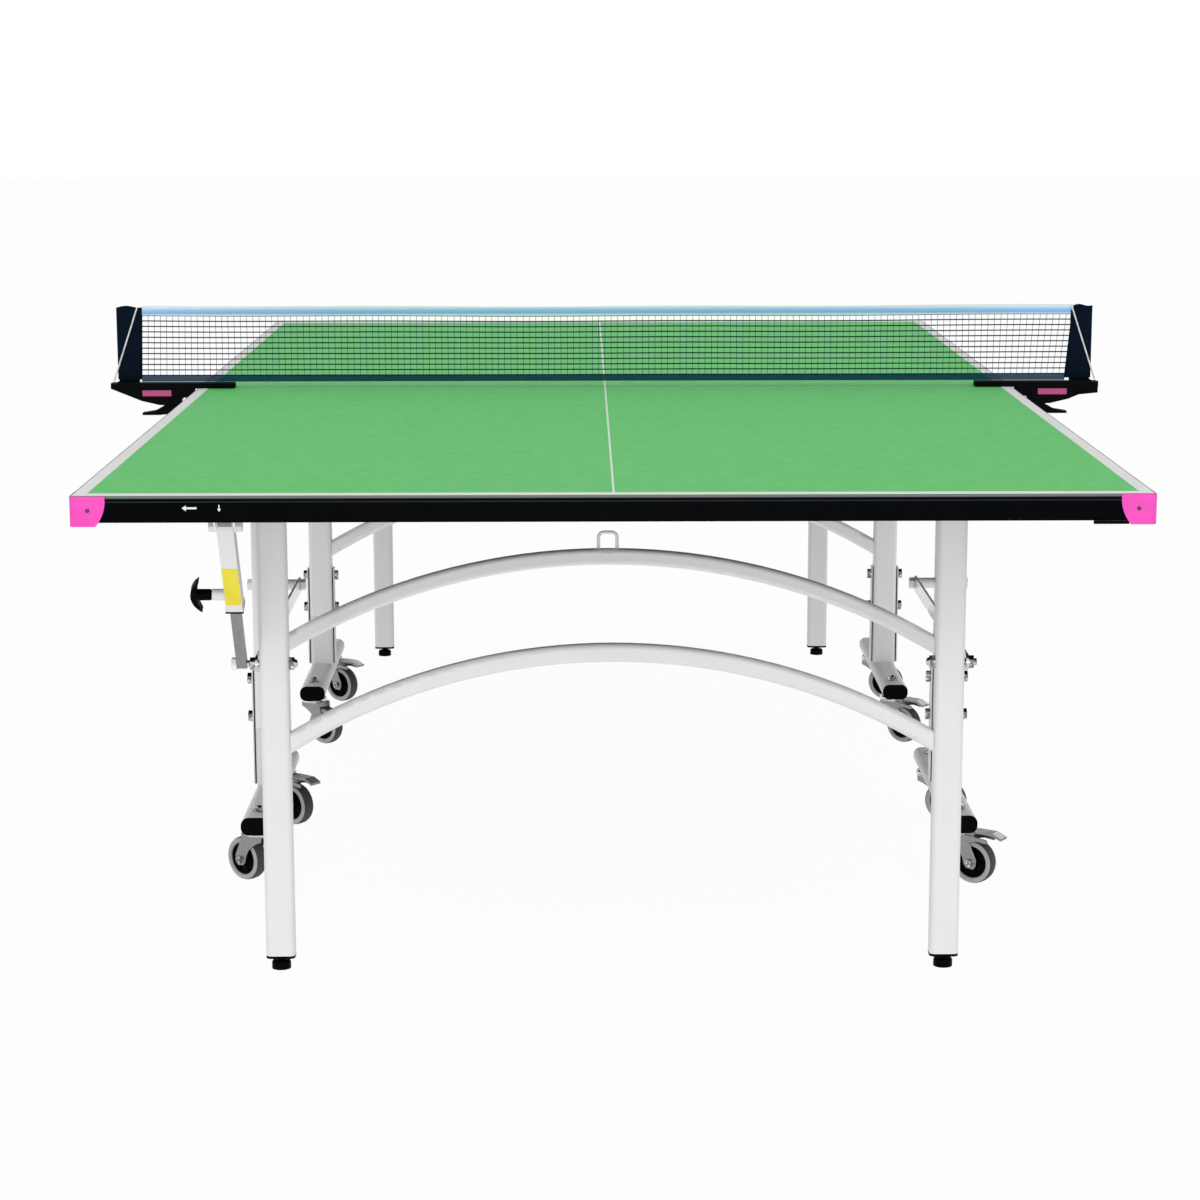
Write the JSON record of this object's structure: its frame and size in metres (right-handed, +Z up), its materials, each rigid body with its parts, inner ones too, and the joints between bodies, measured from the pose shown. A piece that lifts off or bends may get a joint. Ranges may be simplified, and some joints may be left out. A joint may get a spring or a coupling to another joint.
{
  "type": "table tennis table",
  "caption": "Folding rollaway table tennis table with a clamped net, end legs that fold with the top, and wheeled trolleys on swivel casters.",
  "frame": {"origin": "on the floor under the middle of the table, below the net", "axes": "+Z up, +Y along the table towards the rear half, +X across the table to the right seen from the front end"},
  "size_m": [1.85, 2.745, 0.9125],
  "materials": {
    "green_board": "matt green coated laminate with painted white lines",
    "apron_paint": "satin black powder coat on steel tube",
    "guard_plastic": "moulded pink plastic",
    "tube_paint": "satin off-white powder coat on steel tube",
    "zinc_steel": "zinc plated steel",
    "black_plastic": "moulded black plastic",
    "tyre_rubber": "grey rubber tyre on a black hub",
    "net_cloth": "navy knotted net and cloth",
    "tape_cloth": "pale woven tape",
    "cord_cloth": "white braided cord",
    "clamp_paint": "black powder coat on pressed steel"
  },
  "bodies": {
    "front_trolley": {"front_post_tubes": "tube_paint", "front_post_arch": "tube_paint", "front_caster_tees": "tube_paint", "front_tube_caps": "black_plastic", "front_frame_bolts": "zinc_steel"},
    "front_top": {"front_playing_surface": "green_board", "front_apron_frame": "apron_paint", "front_corner_guards": "guard_plastic", "net_mesh": "net_cloth", "net_tape": "tape_cloth", "net_end_sleeves": "net_cloth", "net_cords": "cord_cloth", "left_net_clamp": "clamp_paint", "right_net_clamp": "clamp_paint"},
    "front_legs": {"front_leg_tubes": "tube_paint", "front_leg_arch": "tube_paint", "front_leg_feet": "black_plastic", "front_leg_bolts": "zinc_steel"},
    "front_links": {"front_leg_links": "zinc_steel"},
    "front_sleeve": {"front_strut_sleeve": "tube_paint"},
    "front_bar": {"front_strut_bar": "zinc_steel"},
    "front_knob": {"front_lock_knob": "black_plastic"},
    "rear_trolley": {"rear_post_tubes": "tube_paint", "rear_post_arch": "tube_paint", "rear_caster_tees": "tube_paint", "rear_tube_caps": "black_plastic", "rear_frame_bolts": "zinc_steel"},
    "rear_top": {"rear_playing_surface": "green_board", "rear_apron_frame": "apron_paint", "rear_corner_guards": "guard_plastic"},
    "rear_legs": {"rear_leg_tubes": "tube_paint", "rear_leg_arch": "tube_paint", "rear_leg_feet": "black_plastic", "rear_leg_bolts": "zinc_steel"},
    "rear_links": {"rear_leg_links": "zinc_steel"},
    "rear_sleeve": {"rear_strut_sleeve": "tube_paint"},
    "rear_bar": {"rear_strut_bar": "zinc_steel"},
    "rear_knob": {"rear_lock_knob": "black_plastic"},
    "left_lever": {"left_clamp_lever": "clamp_paint"},
    "right_lever": {"right_clamp_lever": "clamp_paint"},
    "front_left_outer_swivel": {"front_left_outer_fork": "zinc_steel"},
    "front_left_outer_roller": {"front_left_outer_wheel": "tyre_rubber"},
    "front_left_inner_swivel": {"front_left_inner_fork": "zinc_steel"},
    "front_left_inner_roller": {"front_left_inner_wheel": "tyre_rubber"},
    "front_left_inner_brake": {"front_left_inner_pedal": "zinc_steel"},
    "front_right_outer_swivel": {"front_right_outer_fork": "zinc_steel"},
    "front_right_outer_roller": {"front_right_outer_wheel": "tyre_rubber"},
    "front_right_outer_brake": {"front_right_outer_pedal": "zinc_steel"},
    "front_right_inner_swivel": {"front_right_inner_fork": "zinc_steel"},
    "front_right_inner_roller": {"front_right_inner_wheel": "tyre_rubber"},
    "rear_left_outer_swivel": {"rear_left_outer_fork": "zinc_steel"},
    "rear_left_outer_roller": {"rear_left_outer_wheel": "tyre_rubber"},
    "rear_left_outer_brake": {"rear_left_outer_pedal": "zinc_steel"},
    "rear_left_inner_swivel": {"rear_left_inner_fork": "zinc_steel"},
    "rear_left_inner_roller": {"rear_left_inner_wheel": "tyre_rubber"},
    "rear_right_outer_swivel": {"rear_right_outer_fork": "zinc_steel"},
    "rear_right_outer_roller": {"rear_right_outer_wheel": "tyre_rubber"},
    "rear_right_inner_swivel": {"rear_right_inner_fork": "zinc_steel"},
    "rear_right_inner_roller": {"rear_right_inner_wheel": "tyre_rubber"},
    "rear_right_inner_brake": {"rear_right_inner_pedal": "zinc_steel"}
  },
  "joints": [
    {"name": "front_fold", "type": "hinge", "parent": "front_trolley", "child": "front_top", "pos_m": [0, -0.505, 0.705], "axis": [-1, 0, 0], "range_deg": [0, 90], "deforming": ["net_mesh", "net_tape", "net_cords"]},
    {"name": "front_leg_fold", "type": "hinge", "parent": "front_top", "child": "front_legs", "pos_m": [0, -1.16, 0.705], "axis": [-1, 0, 0], "range_deg": [-90, 0]},
    {"name": "front_link_fold", "type": "hinge", "parent": "front_trolley", "child": "front_links", "pos_m": [0, -0.505, 0.474], "axis": [-1, 0, 0], "range_deg": [0, 90]},
    {"name": "front_strut_swing", "type": "hinge", "parent": "front_top", "child": "front_sleeve", "pos_m": [-0.5535, -1.311, 0.708], "axis": [-1, 0, 0], "range_deg": [-56.77, 0]},
    {"name": "front_strut_extend", "type": "slide", "parent": "front_sleeve", "child": "front_bar", "axis": [0, 0.5422, -0.8402], "range_m": [0, 0.10362]},
    {"name": "front_lock_pull", "type": "slide", "parent": "front_sleeve", "child": "front_knob", "axis": [-1, 0, 0], "range_m": [0, 0.012], "stiffness_N_per_m": 900, "springref_m": -0.004},
    {"name": "rear_fold", "type": "hinge", "parent": "rear_trolley", "child": "rear_top", "pos_m": [0, 0.505, 0.705], "axis": [1, 0, 0], "range_deg": [0, 90]},
    {"name": "rear_leg_fold", "type": "hinge", "parent": "rear_top", "child": "rear_legs", "pos_m": [0, 1.16, 0.705], "axis": [1, 0, 0], "range_deg": [-90, 0]},
    {"name": "rear_link_fold", "type": "hinge", "parent": "rear_trolley", "child": "rear_links", "pos_m": [0, 0.505, 0.474], "axis": [1, 0, 0], "range_deg": [0, 90]},
    {"name": "rear_strut_swing", "type": "hinge", "parent": "rear_top", "child": "rear_sleeve", "pos_m": [0.5535, 1.311, 0.708], "axis": [1, 0, 0], "range_deg": [-56.77, 0]},
    {"name": "rear_strut_extend", "type": "slide", "parent": "rear_sleeve", "child": "rear_bar", "axis": [0, -0.5422, -0.8402], "range_m": [0, 0.10362]},
    {"name": "rear_lock_pull", "type": "slide", "parent": "rear_sleeve", "child": "rear_knob", "axis": [1, 0, 0], "range_m": [0, 0.012], "stiffness_N_per_m": 900, "springref_m": -0.004},
    {"name": "rear_roll", "type": "slide", "parent": "front_trolley", "child": "rear_trolley", "axis": [0, 1, 0], "range_m": [0, 0.6]},
    {"name": "left_clamp_squeeze", "type": "hinge", "parent": "front_top", "child": "left_lever", "pos_m": [-0.786, -0.017, 0.738], "axis": [0, 1, 0], "range_deg": [0, 12], "stiffness_Nm_per_rad": 6, "springref_deg": -5.73},
    {"name": "right_clamp_squeeze", "type": "hinge", "parent": "front_top", "child": "right_lever", "pos_m": [0.786, -0.017, 0.738], "axis": [0, -1, 0], "range_deg": [0, 12], "stiffness_Nm_per_rad": 6, "springref_deg": -5.73},
    {"name": "front_left_outer_swivel", "type": "hinge", "parent": "front_trolley", "child": "front_left_outer_swivel", "pos_m": [-0.589, -0.7, 0.0887], "axis": [0, 0, 1], "continuous": true},
    {"name": "front_left_outer_roll", "type": "hinge", "parent": "front_left_outer_swivel", "child": "front_left_outer_roller", "pos_m": [-0.61198, -0.68072, 0.0375], "axis": [-0.6428, -0.766, 0], "continuous": true},
    {"name": "front_left_inner_swivel", "type": "hinge", "parent": "front_trolley", "child": "front_left_inner_swivel", "pos_m": [-0.589, -0.31, 0.0887], "axis": [0, 0, 1], "continuous": true},
    {"name": "front_left_inner_roll", "type": "hinge", "parent": "front_left_inner_swivel", "child": "front_left_inner_roller", "pos_m": [-0.56602, -0.32928, 0.0375], "axis": [0.6428, 0.766, 0], "continuous": true},
    {"name": "front_left_inner_brake_press", "type": "hinge", "parent": "front_left_inner_swivel", "child": "front_left_inner_brake", "pos_m": [-0.56449, -0.33057, 0.0885], "axis": [0.6428, 0.766, 0], "range_deg": [0, 12]},
    {"name": "front_right_outer_swivel", "type": "hinge", "parent": "front_trolley", "child": "front_right_outer_swivel", "pos_m": [0.589, -0.7, 0.0887], "axis": [0, 0, 1], "continuous": true},
    {"name": "front_right_outer_roll", "type": "hinge", "parent": "front_right_outer_swivel", "child": "front_right_outer_roller", "pos_m": [0.61357, -0.71721, 0.0375], "axis": [0.5736, 0.8192, 0], "continuous": true},
    {"name": "front_right_outer_brake_press", "type": "hinge", "parent": "front_right_outer_swivel", "child": "front_right_outer_brake", "pos_m": [0.61521, -0.71835, 0.0885], "axis": [0.5736, 0.8192, 0], "range_deg": [0, 12]},
    {"name": "front_right_inner_swivel", "type": "hinge", "parent": "front_trolley", "child": "front_right_inner_swivel", "pos_m": [0.589, -0.31, 0.0887], "axis": [0, 0, 1], "continuous": true},
    {"name": "front_right_inner_roll", "type": "hinge", "parent": "front_right_inner_swivel", "child": "front_right_inner_roller", "pos_m": [0.61719, -0.32026, 0.0375], "axis": [0.342, 0.9397, 0], "continuous": true},
    {"name": "rear_left_outer_swivel", "type": "hinge", "parent": "rear_trolley", "child": "rear_left_outer_swivel", "pos_m": [-0.589, 0.7, 0.0887], "axis": [0, 0, 1], "continuous": true},
    {"name": "rear_left_outer_roll", "type": "hinge", "parent": "rear_left_outer_swivel", "child": "rear_left_outer_roller", "pos_m": [-0.56504, 0.68195, 0.0375], "axis": [0.6018, 0.7986, 0], "continuous": true},
    {"name": "rear_left_outer_brake_press", "type": "hinge", "parent": "rear_left_outer_swivel", "child": "rear_left_outer_brake", "pos_m": [-0.56344, 0.68074, 0.0885], "axis": [0.6018, 0.7986, 0], "range_deg": [0, 12]},
    {"name": "rear_left_inner_swivel", "type": "hinge", "parent": "rear_trolley", "child": "rear_left_inner_swivel", "pos_m": [-0.589, 0.31, 0.0887], "axis": [0, 0, 1], "continuous": true},
    {"name": "rear_left_inner_roll", "type": "hinge", "parent": "rear_left_inner_swivel", "child": "rear_left_inner_roller", "pos_m": [-0.56504, 0.29195, 0.0375], "axis": [0.6018, 0.7986, 0], "continuous": true},
    {"name": "rear_right_outer_swivel", "type": "hinge", "parent": "rear_trolley", "child": "rear_right_outer_swivel", "pos_m": [0.589, 0.7, 0.0887], "axis": [0, 0, 1], "continuous": true},
    {"name": "rear_right_outer_roll", "type": "hinge", "parent": "rear_right_outer_swivel", "child": "rear_right_outer_roller", "pos_m": [0.61619, 0.68732, 0.0375], "axis": [0.4226, 0.9063, 0], "continuous": true},
    {"name": "rear_right_inner_swivel", "type": "hinge", "parent": "rear_trolley", "child": "rear_right_inner_swivel", "pos_m": [0.589, 0.31, 0.0887], "axis": [0, 0, 1], "continuous": true},
    {"name": "rear_right_inner_roll", "type": "hinge", "parent": "rear_right_inner_swivel", "child": "rear_right_inner_roller", "pos_m": [0.61021, 0.28879, 0.0375], "axis": [0.7071, 0.7071, 0], "continuous": true},
    {"name": "rear_right_inner_brake_press", "type": "hinge", "parent": "rear_right_inner_swivel", "child": "rear_right_inner_brake", "pos_m": [0.61163, 0.28737, 0.0885], "axis": [0.7071, 0.7071, 0], "range_deg": [0, 12]}
  ],
  "couplings": [
    {"joint": "front_leg_fold", "follows": "front_fold", "ratio": -1},
    {"joint": "front_link_fold", "follows": "front_fold", "ratio": 1},
    {"joint": "front_strut_swing", "follows": "front_fold", "ratio": -0.63018},
    {"joint": "front_strut_extend", "follows": "front_fold", "m_per_rad": 0.065904},
    {"joint": "rear_leg_fold", "follows": "rear_fold", "ratio": -1},
    {"joint": "rear_link_fold", "follows": "rear_fold", "ratio": 1},
    {"joint": "rear_strut_swing", "follows": "rear_fold", "ratio": -0.63018},
    {"joint": "rear_strut_extend", "follows": "rear_fold", "m_per_rad": 0.065904}
  ]
}
